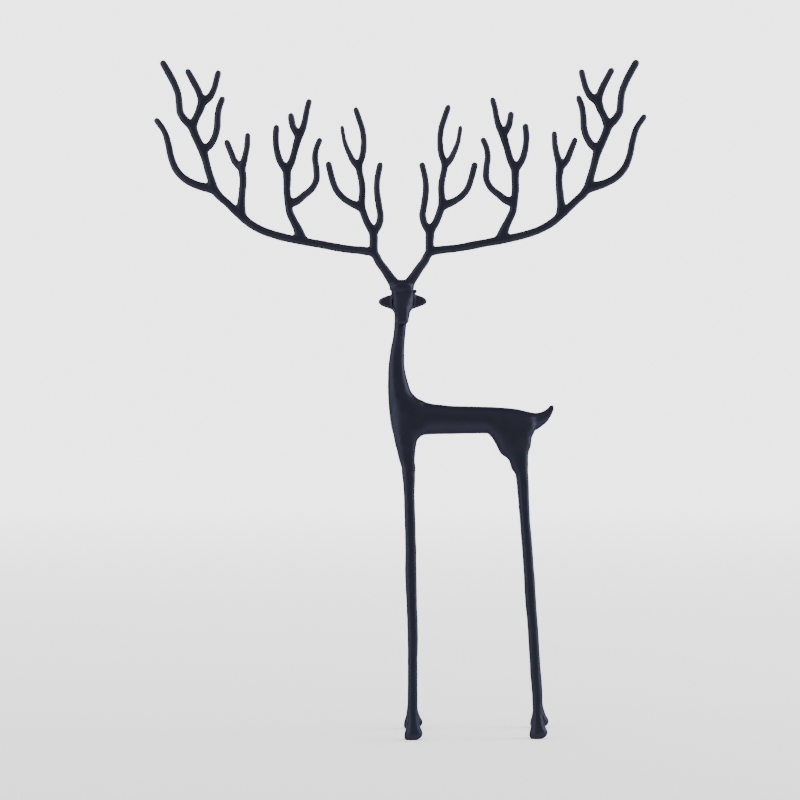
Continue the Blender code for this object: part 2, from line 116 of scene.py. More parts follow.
# %% Tables of the body, in thousandths of WITHERS_HEIGHT
# A leg row is height, front edge, back edge, half thickness, the edges measured from the sole's middle.
FRONT_SOLE = 38
REAR_SOLE = 410
FRONT_LEG = (
    (80, -13, 13, 13), (150, -13, 13, 13), (233, -13, 13, 13), (310, -14, 14, 14),
    (410, -18, 12, 14), (490, -21, 11, 14), (573, -21, 9, 14), (655, -23, 7, 14),
    (720, -25, 5, 14), (763, -28, 6, 15), (787, -31, 6, 15), (802, -32, 8, 16),
    (825, -38, 5, 17), (853, -45, 7, 19), (883, -53, 12, 21), (894, -55, 18, 21),
    (902, -57, 27, 22), (908, -58, 43, 22), (933, -62, 45, 22), (967, -66, 53, 17),
)
REAR_LEG = (
    (80, -13, 12, 13), (120, -14, 12, 13), (200, -20, 7, 13), (277, -24, 4, 14),
    (343, -28, 0, 14), (410, -34, -4, 14), (523, -39, -11, 14), (583, -43, -15, 14),
    (643, -47, -20, 14), (709, -52, -23, 14), (757, -56, -24, 15), (785, -60, -25, 16),
    (799, -71, -26, 17), (825, -79, -26, 19), (835, -87, -26, 20), (843, -100, -25, 21),
    (851, -107, -24, 21), (872, -117, -17, 23), (895, -131, -14, 25), (904, -139, -10, 25),
    (909, -146, -7, 25), (920, -150, -3, 25), (957, -135, -5, 18),
)
# A hoof row is its height in thousandths of HOOF_HEIGHT, then front, back and half thickness of its width.
HOOF = (
    (0, -440, 190, 290), (42, -520, 400, 400), (125, -538, 590, 470), (250, -508, 644, 500),
    (417, -424, 500, 440), (667, -341, 356, 356),
)
# A trunk row is its place, underside, top and half thickness. The last four rows are the tail.
TRUNK = (
    (-23, 927, 970, 20), (3, 905, 993, 33), (50, 904, 1001, 40), (80, 905, 999, 41),
    (105, 906, 995, 42), (180, 908, 989, 42), (257, 909, 987, 42), (317, 906, 984, 42),
    (353, 904, 980, 40), (383, 906, 973, 37), (410, 918, 968, 28), (430, 932, 972, 21),
    (447, 948, 982, 15), (458, 967, 994, 10), (464, 981, 993, 5),
)
# A breast or neck row is height, front edge, back edge, half thickness; a neck row's height is in
# thousandths of NECK_RISE above the back.
BREAST = (
    (880, -13, 45, 17), (907, -19, 57, 28), (933, -26, 73, 37), (963, -30, 90, 40),
)
NECK = (
    (0, -33, 77, 38), (34, -34, 54, 37), (92, -35, 34, 33), (157, -35, 25, 30),
    (229, -35, 18, 27), (352, -32, 12, 23), (457, -27, 12, 22), (557, -20, 14, 21),
    (667, -16, 18, 21), (762, -15, 24, 21), (790, -19, 31, 21), (815, -24, 37, 21),
    (850, -24, 38, 20),
)
print(len(FRONT_LEG) + len(REAR_LEG) + len(HOOF) + len(TRUNK) + len(BREAST) + len(NECK), "body rows")

# %% Tables of the head
# A head row is its place from poll to nose in thousandths of HEAD_LENGTH, its half width, brow height and
# jaw depth in thousandths of HEAD_WIDTH, and the share of its width that is flat on top.
HEAD_MIDDLE = 0.00374           # how far towards the tail the skull's middle lies
HEAD_PITCH = math.radians(50)   # how steeply the nose points down
HEAD_TURN = math.radians(5.6)   # how far it is turned towards the chest's side
POLL_BACK = 0.005               # how far the poll lies behind the middle of the neck
POLL_DROP = 0.0055              # and how far below the base of the crown
HEAD = (
    (-60, 330, 300, 220, 800), (60, 492, 420, 360, 880), (200, 505, 430, 420, 840),
    (330, 495, 405, 430, 600), (430, 478, 380, 420, 480), (530, 425, 350, 390, 480),
    (640, 345, 320, 340, 560), (820, 325, 265, 260, 560), (950, 312, 215, 200, 560),
    (1030, 250, 130, 120, 560),
)
CHEEK_HEIGHT = 0.45  # where the cheeks start, as a share of the brow's height
JAW_FLAT = 0.45      # the flat of the jaw, as a share of the head's width
# An ear row is its place in thousandths of EAR_REACH, and its height and thickness of the ear's own.
EAR_MIDDLE = 0.00239
EAR = (
    (230, 1000, 1000), (420, 900, 950), (560, 775, 850), (700, 645, 720),
    (840, 490, 600), (945, 300, 450), (1000, 110, 200),
)
EAR_DROP = 0.0135    # base of the crown to the middle of an ear
EAR_TILT = 0.0003    # how far above that the right ear stands, and the left one below
EYE_FORWARD = 0.001  # how far the eyes lie before the middle of the neck, as the face looks
# An eye row is how far out it lies from the skull's middle and how far below the base of the crown.
EYES = ((-0.0113, 0.0020), (0.0097, 0.0043))
EYE_SIDES = 24
EYE_RINGS = 16
# The crown is the low saddle between the antlers: height, half width, half thickness of ANTLER_REACH.
CROWN_MIDDLE = 0.0017
CROWN = (
    (-45, 23, 18), (-28, 32, 24), (-20, 37, 27), (-11, 45, 31), (-3, 49, 32), (10, 43, 30),
    (20, 30, 24), (26, 13, 15),
)
print(len(HEAD) + 2 * len(EAR) + len(CROWN), "head rows")

# %% [markdown]
# ## The antlers as data
#
# An antler is a main beam and the branches that leave it. Points are (out from the middle plane, up from
# the crown's base) in thousandths of ANTLER_REACH, and a branch starts at its parent's point of the number
# it gives. Root and tip are shares of the stock's width, the flare widens the root, and the swell widens
# the parent there. The lean is how far the tip stands out of the antler's plane, and the hand is how much
# the right antler differs from a mirror of the left one, because each was shaped by hand.

# %% The branches
BRANCHES = {
    "beam": {
        "points": (
            (10, -22), (31, 14), (51, 43), (66, 66), (90, 98), (113, 136), (152, 146), (204, 151),
            (324, 172), (405, 187), (485, 204), (564, 231), (611, 258), (649, 291), (703, 342),
            (737, 373), (753, 397), (764, 432), (774, 465), (800, 555), (818, 592), (832, 624),
            (840, 645), (870, 677), (886, 702), (891, 738), (895, 779), (908, 816), (937, 873),
            (954, 903),
        ),
        "parent": None, "leaves": 0, "root": 0.94, "tip": 0.81, "lean": -12, "hand": (-9, -4),
        "flare": 1.05, "swell": 0,
    },
    "inner": {
        "points": (
            (113, 186), (115, 216), (140, 263), (154, 300), (161, 324), (162, 350), (159, 394),
            (163, 432), (170, 464), (172, 486), (158, 537), (154, 586), (158, 633), (173, 681),
            (186, 719),
        ),
        "parent": "beam", "leaves": 5, "root": 1.12, "tip": 0.84, "lean": 14, "hand": (11, 9),
        "flare": 0.35, "swell": 0.04,
    },
    "inner_low": {
        "points": ((91, 254), (85, 284), (91, 327), (98, 378), (97, 432), (89, 470), (85, 488)),
        "parent": "inner", "leaves": 2, "root": 1.08, "tip": 0.90, "lean": -14, "hand": (4, 0),
        "flare": 0.20, "swell": 0.22,
    },
    "inner_out": {
        "points": ((206, 340), (237, 360), (264, 392), (281, 438), (294, 490)),
        "parent": "inner", "leaves": 5, "root": 0.98, "tip": 0.96, "lean": -10, "hand": (8, -4),
        "flare": 0.80, "swell": 0.12,
    },
    "inner_thin": {
        "points": ((195, 509), (212, 541), (227, 579), (238, 640)),
        "parent": "inner", "leaves": 10, "root": 0.92, "tip": 0.56, "lean": -16, "hand": (5, -2),
        "flare": 0.40, "swell": 0.06,
    },
    "middle": {
        "points": (
            (415, 228), (434, 268), (451, 306), (455, 338), (461, 391), (460, 436), (460, 469),
            (441, 510), (431, 544), (421, 582), (412, 611), (395, 647), (386, 682), (380, 716),
            (371, 751),
        ),
        "parent": "beam", "leaves": 9, "root": 1.18, "tip": 0.86, "lean": 16, "hand": (2, 4),
        "flare": 1.20, "swell": 0.08,
    },
    "middle_in": {
        "points": (
            (422, 347), (391, 371), (361, 396), (342, 434), (342, 472), (348, 527), (340, 566),
            (330, 588),
        ),
        "parent": "middle", "leaves": 4, "root": 1.06, "tip": 0.88, "lean": -14, "hand": (7, 0),
        "flare": 0.60, "swell": 0.06,
    },
    "middle_out": {
        "points": ((487, 507), (501, 553), (505, 600), (502, 642)),
        "parent": "middle", "leaves": 7, "root": 1.02, "tip": 0.94, "lean": -12, "hand": (3, 2),
        "flare": 0.35, "swell": 0.34,
    },
    "middle_short": {
        "points": ((435, 647), (441, 674), (443, 690)),
        "parent": "middle", "leaves": 11, "root": 0.98, "tip": 0.92, "lean": -8, "hand": (3, 4),
        "flare": 0.35, "swell": 0.32,
    },
    "outer_in": {
        "points": (
            (644, 345), (639, 394), (637, 438), (641, 479), (629, 526), (621, 564), (618, 612),
        ),
        "parent": "beam", "leaves": 13, "root": 1.12, "tip": 0.86, "lean": -14, "hand": (3, 3),
        "flare": 0.90, "swell": 0.14,
    },
    "outer_in_short": {
        "points": ((669, 507), (685, 544), (703, 588)),
        "parent": "outer_in", "leaves": 4, "root": 0.98, "tip": 0.86, "lean": 10, "hand": (2, 4),
        "flare": 0.35, "swell": 0.26,
    },
    "outermost": {
        "points": (
            (795, 406), (834, 419), (876, 444), (907, 479), (927, 527), (939, 584), (956, 638),
            (986, 682),
        ),
        "parent": "beam", "leaves": 16, "root": 1.24, "tip": 0.88, "lean": 18, "hand": (-2, 8),
        "flare": 0.50, "swell": 0.16,
    },
    "outer_low": {
        "points": ((777, 567), (752, 602), (741, 640), (739, 680), (734, 723), (721, 760)),
        "parent": "beam", "leaves": 19, "root": 1.06, "tip": 0.94, "lean": 12, "hand": (-1, 0),
        "flare": 0.34, "swell": 0.26,
    },
    "top_in": {
        "points": (
            (826, 680), (810, 714), (798, 746), (768, 770), (753, 798), (742, 836), (735, 867),
        ),
        "parent": "beam", "leaves": 22, "root": 1.10, "tip": 0.92, "lean": 14, "hand": (-6, 0),
        "flare": 0.30, "swell": 0.26,
    },
    "top_out": {
        "points": ((812, 789), (833, 831), (854, 870)),
        "parent": "top_in", "leaves": 3, "root": 1.02, "tip": 0.94, "lean": -10, "hand": (-8, -1),
        "flare": 0.40, "swell": 0.32,
    },
}
HAND_AT_KNEE = (9, 2)       # the hand at the crown and up to the beam's knee
KNEE = 0.172                # the share of the beam's points where the knee is
CROWN_FLARE_LENGTH = 0.010  # how soon the beam's flare dies away
FLARE_LENGTH = 0.0065       # how soon any other does
SWELL_LENGTH = 0.0095       # how far from its middle a swell has died down to about a third
print(len(BRANCHES), "branches in each antler")

# %% [markdown]
# ## Curves and skins
#
# Every limb is a stack of rings: an outline carried along a line. Between the rows of a table the sizes
# follow cubic curves, so that the rows themselves don't show as creases. Each half width w is made a little
# too large, the square root of w squared and twice the melt, because melting takes just that much off
# a rod.


# %% Cubics through rows, and the skin over rings
def cubic(knots, values, slopes, places):
    """Hermite cubics through the values at the knots, with the given slopes, read at the places."""
    i = np.clip(np.searchsorted(knots, places, side="right") - 1, 0, len(knots) - 2)
    width = (knots[i + 1] - knots[i])[:, None]
    t = (places - knots[i])[:, None] / width
    return (
        values[i] * (2 * t**3 - 3 * t**2 + 1) + slopes[i] * width * (t**3 - 2 * t**2 + t)
        + values[i + 1] * (3 * t**2 - 2 * t**3) + slopes[i + 1] * width * (t**3 - t**2))


def even_places(knots, step):
    """Places from the first knot to the last, about one step apart."""
    return np.linspace(knots[0], knots[-1], 2 + int((knots[-1] - knots[0]) / step))


def fill_rows(rows, step):
    """Rows at even places, on cubics that never swing past a row: a slope is the harmonic mean of the
    two chords beside its row, and zero where the chords differ in sign."""
    knots, values = rows[:, 0], rows[:, 1:]
    chords = np.diff(values, axis=0) / np.diff(knots)[:, None]
    before, after = chords[:-1], chords[1:]
    both = before * after
    middle = np.where(both > 0, 2 * both / np.where(both > 0, before + after, 1), 0)
    places = even_places(knots, step)
    filled = cubic(knots, values, np.vstack((chords[:1], middle, chords[-1:])), places)
    return np.column_stack((places, filled))


def grown(half_width):
    """The half width that melts down to the given one."""
    return np.sqrt(half_width**2 + 2 * MELT)


def squarish(sides, roundness=BODY_ROUNDNESS):
    """Outline |u|^p + |v|^p = 1 with p the roundness: 2 is a circle and more is squarer."""
    turn = 2 * np.pi * np.arange(sides) / sides
    u, v = np.cos(turn), np.sin(turn)
    return np.sign(u) * np.abs(u) ** (2 / roundness), np.sign(v) * np.abs(v) ** (2 / roundness)


def skin(rings):
    """Points and faces of a closed surface over rings: quads between rings, a fan over each end."""
    count, sides = rings.shape[:2]
    points = np.vstack((rings.reshape(-1, 3), rings[0].mean(axis=0), rings[-1].mean(axis=0)))
    ring, side = np.meshgrid(np.arange(count - 1), np.arange(sides), indexing="ij")
    a, b = ring * sides + side, ring * sides + (side + 1) % sides
    quads = np.stack((a, b, b + sides, a + sides), axis=-1).reshape(-1, 4)
    edge = np.arange(sides)
    after = (edge + 1) % sides
    first = np.column_stack((after, edge, np.full(sides, count * sides)))
    last_row = (count - 1) * sides
    last = np.column_stack((last_row + edge, last_row + after, np.full(sides, count * sides + 1)))
    return points, quads, np.vstack((first, last))


def level_skin(rows, middles, sides=BODY_SIDES):
    """Skin over level rings: at height z the outline spans front to back in x, and the middle plus and
    minus the half thickness in y."""
    z, front, back, half = rows.T
    u, v = squarish(sides)
    x = ((front + back) / 2)[:, None] + grown((back - front) / 2)[:, None] * u
    y = middles[:, None] + grown(half)[:, None] * v
    return skin(np.stack((x, y, np.broadcast_to(z[:, None], x.shape)), axis=-1))


print("an outline has", BODY_SIDES, "points")


# %% [markdown]
# ## Legs, trunk, neck and crown
#
# A leg leaves the trunk beside the middle plane and spreads to half the stance at the floor. The rear off
# hoof stands a little behind the near one, as the photograph shows below the hocks.


# %% Body skins
def leg(table, sole, side, stagger, shift):
    """A leg with its hoof: level rings whose middle runs straight from hip to stance in y, and whose
    edges move by the stagger times the drop to the power SPLAY_POWER in x."""
    width = OFF_HOOF_WIDTH if side > 0 else HOOF_WIDTH
    hoof = np.array(HOOF) / 1000 * (HOOF_HEIGHT, width, width, width)
    shaft = np.array(table) / 1000 * WITHERS_HEIGHT
    shaft[0, 0] = HOOF_HEIGHT
    rows = np.vstack((hoof[:1], hoof, shaft))
    rows[0, 0] = -SOLE_DEEPER
    rows = fill_rows(rows, RING_STEP)
    drop = np.clip(1 - rows[:, 0] / shaft[-1, 0], 0, 1)
    rows[:, 1:3] += (sole / 1000 * WITHERS_HEIGHT + stagger * drop**SPLAY_POWER)[:, None]
    spread = STANCE_WIDTH / 2 * drop + HIP_WIDTH / 2 * (1 - drop)
    return level_skin(rows, side * spread + shift * drop)


def trunk():
    """Upright rings along x: each spans underside to top in z and plus and minus the half thickness."""
    x, under, top, half = fill_rows(np.array(TRUNK) / 1000 * WITHERS_HEIGHT, RING_STEP).T
    u, v = squarish(BODY_SIDES)
    y = grown(half)[:, None] * u
    z = ((under + top) / 2)[:, None] + grown((top - under) / 2)[:, None] * v
    return skin(np.stack((np.broadcast_to(x[:, None], y.shape), y, z), axis=-1))


def neck():
    """Level rings from the breast up to the skull."""
    column = np.array(NECK) / 1000 * WITHERS_HEIGHT
    column[:, 0] = WITHERS_HEIGHT + np.array(NECK)[:, 0] / 1000 * NECK_RISE
    rows = fill_rows(np.vstack((np.array(BREAST) / 1000 * WITHERS_HEIGHT, column)), RING_STEP)
    return level_skin(rows, np.zeros(len(rows)))


def crown():
    """Level rings of the saddle between the antlers."""
    up, half_width, half_depth = (np.array(CROWN) / 1000 * ANTLER_REACH).T
    rows = np.column_stack((
        CROWN_BASE + up, CROWN_MIDDLE - half_width, CROWN_MIDDLE + half_width, half_depth))
    rows = fill_rows(rows, RING_STEP)
    return level_skin(rows, np.zeros(len(rows)))


skins = [trunk(), neck(), crown()]
for side, stagger in ((-1, 0), (1, REAR_STAGGER)):
    skins.append(leg(FRONT_LEG, FRONT_SOLE, side, 0, 0))
    skins.append(leg(REAR_LEG, REAR_SOLE, side, stagger, REAR_SHIFT))
print(len(skins), "body skins,", sum(len(s[0]) for s in skins), "points")


# %% [markdown]
# ## Head and ears
#
# The section of the head is an octagon: a flat brow that narrows into the bridge of the nose, two cheeks
# that slope down from it, and a narrower jaw. An ear is a leaf whose section is bent into a shallow cup,
# open to the front.


# %% Head skins
def head():
    """The octagon carried along a straight line from poll to nose, scaled by the rows."""
    rows = fill_rows(np.array(HEAD) / 1000, RING_STEP / HEAD_LENGTH)
    along, half, brow, jaw, flat = rows.T
    across = np.stack((
        flat, 1 + 0 * flat, 1 + 0 * flat, JAW_FLAT + 0 * flat,
        -JAW_FLAT + 0 * flat, -1 + 0 * flat, -1 + 0 * flat, -flat), axis=1)
    up = np.stack((
        brow, brow * CHEEK_HEIGHT, 0 * brow, -jaw, -jaw, 0 * brow, brow * CHEEK_HEIGHT, brow), axis=1)
    poll = np.array((HEAD_MIDDLE, POLL_BACK, CROWN_BASE - POLL_DROP))
    ahead = np.array((-math.sin(HEAD_TURN), -math.cos(HEAD_TURN), 0))
    sideways = np.array((math.cos(HEAD_TURN), -math.sin(HEAD_TURN), 0))
    upright = np.array((0, 0, 1.0))
    to_nose = ahead * math.cos(HEAD_PITCH) - upright * math.sin(HEAD_PITCH)
    brow_up = ahead * math.sin(HEAD_PITCH) + upright * math.cos(HEAD_PITCH)
    middle = poll + to_nose * (along * HEAD_LENGTH)[:, None]
    x = across * grown(half * HEAD_WIDTH)[:, None]
    z = up * HEAD_WIDTH + np.sign(up) * HEAD_GROWTH
    return skin(middle[:, None, :] + sideways * x[..., None] + brow_up * z[..., None])


def ear(side):
    """Upright ellipses carried outwards; the middle of each is pushed back by the cup."""
    out, height, thick = fill_rows(np.array(EAR) / 1000, RING_STEP / EAR_REACH / 2).T
    u, v = squarish(BODY_SIDES, 2)
    level = CROWN_BASE - EAR_DROP + side * EAR_TILT
    cup = EAR_CUP * np.sin(np.pi * np.clip((out - out[0]) / (1 - out[0]), 0, 1))
    y = grown(thick * EAR_THICKNESS / 2)[:, None] * u - cup[:, None] * (v**2 - 0.5)
    z = level + grown(height * EAR_HEIGHT / 2)[:, None] * v
    x = np.broadcast_to((EAR_MIDDLE + side * out * EAR_REACH)[:, None], y.shape)
    return skin(np.stack((x, y, z), axis=-1))


skins += [head(), ear(-1), ear(1)]
print(len(skins), "skins with the head and ears")


# %% [markdown]
# ## The antlers as tubes
#
# A branch's path is a cubic through its points. Its width falls evenly from root to tip, with a flare that
# dies away like exp(-run/length) where it leaves its parent, and a bell-shaped swell on the parent there.


# %% Antler skins
def branch_pattern(name):
    """A branch's own points, with the hand and the lean at each of them, parents first."""
    branch = BRANCHES[name]
    own = np.array(branch["points"], float)
    start_hand, start_lean = np.array(HAND_AT_KNEE, float), 0.0
    if branch["parent"]:
        points, parent_hands, parent_leans = branch_pattern(branch["parent"])
        start = branch["leaves"]
        own = np.vstack((points[start], own))
        start_hand, start_lean = parent_hands[start], parent_leans[start]
    share = np.linspace(0, 1, len(own))
    leans = start_lean + (branch["lean"] - start_lean) * share
    if not branch["parent"]:
        share = np.clip((share - KNEE) / (1 - KNEE), 0, 1)
    return own, start_hand + (np.array(branch["hand"]) - start_hand) * share[:, None], leans


def branch_points(name, side):
    """A branch's points in space; side is -1 for the left antler and 1 for the right."""
    pattern, hands, leans = branch_pattern(name)
    placed = (pattern + side * hands / 2) / 1000 * ANTLER_REACH
    share = pattern[:, 0] / 1000
    sweep = ANTLER_SWEEP * share**2 + leans / 1000 * ANTLER_REACH
    height = CROWN_BASE + placed[:, 1] + side * ANTLER_RISE * share
    return np.column_stack((ANTLER_MIDDLE + side * placed[:, 0], sweep, height))


def lengths_along(path):
    """Distance from the first point of a path to each of its points."""
    return np.concatenate(([0], np.cumsum(np.linalg.norm(np.diff(path, axis=0), axis=1))))


def tube(path, widths, depths):
    """An ellipse carried along a path, square to it, that closes in a half ball at the far end."""
    along = np.gradient(path, axis=0)
    along /= np.linalg.norm(along, axis=1)[:, None]
    bend = np.radians(np.linspace(0, TIP_TURN, TIP_RINGS + 1))[1:]
    reach = grown(widths[-1] / 2) + TIP_LONGER
    path = np.vstack((path, path[-1] + np.outer(np.sin(bend) * reach, along[-1])))
    along = np.vstack((along, np.repeat(along[-1:], len(bend), axis=0)))
    half_widths = np.concatenate((grown(widths / 2), grown(widths[-1] / 2) * np.cos(bend)))
    half_depths = np.concatenate((grown(depths / 2), grown(depths[-1] / 2) * np.cos(bend)))
    across = np.cross((0, 1, 0), along)
    across /= np.linalg.norm(across, axis=1)[:, None]
    deep = np.cross(along, across)
    turn = 2 * np.pi * np.arange(TINE_SIDES) / TINE_SIDES
    return skin(
        path[:, None] + across[:, None] * (half_widths[:, None] * np.cos(turn))[..., None]
        + deep[:, None] * (half_depths[:, None] * np.sin(turn))[..., None])


def branch_tube(name, side):
    """One branch of an antler."""
    branch = BRANCHES[name]
    knots = branch_points(name, side)
    run = lengths_along(knots)
    path = cubic(run, knots, np.gradient(knots, run, axis=0), even_places(run, RING_STEP))
    run = lengths_along(path)
    stock, flare_length = (TINE_WIDTH, FLARE_LENGTH) if branch["parent"] else (
        BEAM_WIDTH, CROWN_FLARE_LENGTH)
    plain = stock * (branch["root"] + (branch["tip"] - branch["root"]) * run / run[-1])
    extra = branch["flare"] * np.exp(-run / flare_length)
    for child_name, child in BRANCHES.items():
        if child["parent"] == name:
            away = np.linalg.norm(path - branch_points(child_name, side)[0], axis=1)
            extra += child["swell"] * np.exp(-(away / SWELL_LENGTH) ** 2)
    return tube(path, plain * (1 + extra), plain * ANTLER_DEPTH)


skins += [branch_tube(name, side) for side in (-1, 1) for name in BRANCHES]
print(len(skins), "skins in all,", sum(len(s[0]) for s in skins), "points")


# %% [markdown]
# ## One skin
#
# All the skins go into one mesh, and a voxel remesh keeps only what is outside, so nothing is left inside
# where limbs overlap. Then the surface melts: each step moves every point part of the way to the mean of
# its neighbours, which rounds edges and fills forks just as surface tension does in a mould. A second pass
# moves points in depth only, over the shoulders and haunches, and leaves the outline alone.


# %% Fuse and melt
def fused(parts):
    """Points, edges and mesh of the outer surface of all the skins together."""
    starts = np.cumsum([0] + [len(points) for points, _, _ in parts[:-1]])
    points = np.vstack([part[0] for part in parts])
    quads = np.vstack([part[1] + start for part, start in zip(parts, starts)])
    fans = np.vstack([part[2] + start for part, start in zip(parts, starts)])
    mesh = bpy.data.meshes.new("skins")
    mesh.from_pydata(points.tolist(), [], quads.tolist() + fans.tolist())
    body = bpy.data.objects.new("skins", mesh)
    bpy.context.scene.collection.objects.link(body)
    remesh = body.modifiers.new("one_skin", "REMESH")
    remesh.mode = "VOXEL"
    remesh.voxel_size = VOXEL
    evaluated = body.evaluated_get(bpy.context.evaluated_depsgraph_get())
    one = bpy.data.meshes.new_from_object(evaluated)
    bpy.data.objects.remove(body, do_unlink=True)
    bpy.data.meshes.remove(mesh)
    return one


def read_points(mesh):
    """A mesh's points as rows of x, y and z."""
    flat = np.empty(3 * len(mesh.vertices))
    mesh.vertices.foreach_get("co", flat)
    return flat.reshape(-1, 3)


def read_edges(mesh):
    """A mesh's edges as pairs of point numbers."""
    flat = np.empty(2 * len(mesh.edges), dtype=np.int32)
    mesh.edges.foreach_get("vertices", flat)
    return flat.reshape(-1, 2)


def neighbour_mean(values, edges):
    """The mean of each point's neighbours, for every column of values."""
    count = len(values)
    start, end = edges.T
    total = [
        np.bincount(start, column[end], count) + np.bincount(end, column[start], count)
        for column in values.T]
    return np.column_stack(total) / np.bincount(edges.ravel(), minlength=count)[:, None]


def smooth_step(values, low, high):
    """0 below low, 1 above high, and 3t^2 - 2t^3 between."""
    t = np.clip((values - low) / (high - low), 0, 1)
    return t * t * (3 - 2 * t)


casting = fused(skins)
points, edges = read_points(casting), read_edges(casting)
spacing = np.linalg.norm(points[edges[:, 0]] - points[edges[:, 1]], axis=1)
step_melt = MELT_RATE * np.mean(spacing**2) / 4
for _ in range(round(MELT / step_melt)):
    points += MELT_RATE * (neighbour_mean(points, edges) - points)
body_share = smooth_step(points[:, 2], *BODY_MELT_STARTS)
body_share *= 1 - smooth_step(points[:, 2], *BODY_MELT_ENDS)
for _ in range(round(BODY_MELT / step_melt)):
    drift = neighbour_mean(points[:, 1:2], edges)[:, 0] - points[:, 1]
    points[:, 1] += MELT_RATE * body_share * drift
print(len(points), "points,", round(MELT / step_melt), "and", round(BODY_MELT / step_melt), "melting steps")

# %% [markdown]
# ## Hand-worked surface
#
# A pattern filed and sanded by hand is never quite true. The relief is a sum of plane waves of 9 to 30 mm
# in seeded directions, about a tenth of a millimetre deep. The halo is just under half a millimetre of
# extra metal all round: where a pixel holds both, the bright ground outshines the dark metal, so that thin
# limbs would look thinner in the render than they are. Then the soles are ground flat at the floor, and
# the casting is set over the middle of its own outline, as the CAD is.

# %% Relief, soles and place
HALO = 0.00045
RELIEF_DEPTH = 0.00007
RELIEF_WAVES = 28
RELIEF_LONGEST = 0.030
RELIEF_SHORTEST = 0.009
RELIEF_SEED = 7
chance = np.random.default_rng(RELIEF_SEED)


def relief(places):
    """Sum over waves of sin(2 pi d.p / L + phase): directions d on a sphere, lengths L in a range."""
    towards = chance.normal(size=(RELIEF_WAVES, 3))
    towards /= np.linalg.norm(towards, axis=1)[:, None]
    length = chance.uniform(RELIEF_SHORTEST, RELIEF_LONGEST, RELIEF_WAVES)
    phase = chance.uniform(0, 2 * np.pi, RELIEF_WAVES)
    waves = np.sin(2 * np.pi * (places @ towards.T) / length + phase)
    return waves.sum(axis=1) / np.sqrt(RELIEF_WAVES / 2)


def outward(mesh):
    """The mesh's unit normals at its points."""
    flat = np.empty(3 * len(mesh.vertices))
    mesh.vertex_normals.foreach_get("vector", flat)
    return flat.reshape(-1, 3)


casting.vertices.foreach_set("co", points.ravel())
casting.update()
points += outward(casting) * (HALO + RELIEF_DEPTH * relief(points))[:, None]
points[:, 2] = np.maximum(points[:, 2], 0)
middle_shift = (points.min(axis=0) + points.max(axis=0)) / 2
middle_shift[2] = 0
points -= middle_shift
casting.vertices.foreach_set("co", points.ravel())
casting.update()
print("casting, mm:", np.round(1000 * (points.max(axis=0) - points.min(axis=0)), 2))

# %% [markdown]
# ## Burnish and painted highlight
#
# Handling and polishing brighten what stands proud and leave what is hollow dull; the same lighter colour
# also stands in for painted highlights on raised edges and tips. How proud a point stands is its distance
# from the mean of its neighbours, measured along its normal.

# %% Burnish and painted highlight as a point attribute
BURNISH_AND_HIGHLIGHT_SPREAD = 4     # how often each value is replaced by the mean of its neighbours
BURNISH_AND_HIGHLIGHT_FULL_AT = 97   # the per cent of points that stand less proud than a fully burnished one
proud = np.einsum("ij,ij->i", points - neighbour_mean(points, edges), outward(casting))
for _ in range(BURNISH_AND_HIGHLIGHT_SPREAD):
    proud = neighbour_mean(proud[:, None], edges)[:, 0]
level = np.clip(proud / np.percentile(np.abs(proud), BURNISH_AND_HIGHLIGHT_FULL_AT), -1, 1)
# Proud points later get a lighter colour: partly rubbed wear, partly painted highlight.
burnish_and_highlight = casting.attributes.new("burnish_and_highlight", "FLOAT", "POINT")
burnish_and_highlight.data.foreach_set("value", level.astype(np.float32))
casting.polygons.foreach_set("use_smooth", np.ones(len(casting.polygons), dtype=bool))
print("burnish from", round(float(level.min()), 2), "to", round(float(level.max()), 2))

# %% [markdown]
# ## Materials
#
# Colours are written as sRGB hex. The finish is one node graph that reads object coordinates in metres,
# so a pattern's scale is one over its real size.


# %% Node helpers
def colour(hex_code):
    """Linear colour from an sRGB hex code."""
    parts = np.array([int(hex_code[i:i + 2], 16) for i in (1, 3, 5)]) / 255
    linear = np.where(parts <= 0.04045, parts / 12.92, ((parts + 0.055) / 1.055) ** 2.4)
    return (*linear.tolist(), 1.0)


def node(tree, kind, settings=None, **inputs):
    """Add a node; settings are its properties, and inputs are constants or sockets to link from."""
    made = tree.nodes.new(kind)
    for name, value in (settings or {}).items():
        setattr(made, name, value)
    for name, value in inputs.items():
        socket = made.inputs[int(name[1:])] if name[0] == "i" and name[1:].isdigit() else (
            made.inputs[name.replace("_", " ")])
        if isinstance(value, bpy.types.NodeSocket):
            tree.links.new(value, socket)
        else:
            socket.default_value = value
    return made


def new_material(name):
    """An empty node material."""
    material = bpy.data.materials.new(name)
    material.use_nodes = True
    material.node_tree.nodes.clear()
    return material


print("middle grey in linear light:", np.round(colour("#808080"), 4))

# %% Blackened aluminium
# Sand-cast aluminium, filed and sanded smooth by hand, blackened in a chemical bath and waxed. The oxide
# takes its dark violet-grey tint and the satin gloss from the metal below; the raised edges are rubbed a
# little brighter, a lighter colour that is partly wear and partly a painted highlight, and a faint sand
# grain is left everywhere.
VIOLET_BLACK = "#2a2733"
BLUE_BLACK = "#20262e"
# Lighter colour on raised edges and tips: rubbed wear and painted highlight.
RUBBED_AND_HIGHLIGHT = "#4a4a56"
GRAZING_TINT = "#b4b4bc"    # tints what the metal mirrors near its rims
RUBBED_AND_HIGHLIGHT_RANGE = (0.55, 1.0)  # burnish at which the rubbing starts to show, and at which it is full
RUBBED_AND_HIGHLIGHT_MOST = 0.15
ROUGHNESS = (0.33, 0.43)    # in the glossiest and in the dullest patches
NOISE_RANGE = (0.3, 0.7)    # what the noise stays within nearly everywhere
TINT_PATCH = 0.035
GLOSS_PATCH = 0.009
GRAIN = 0.0007
GRAIN_DEPTH = 0.00008
GRAIN_STRENGTH = 0.25

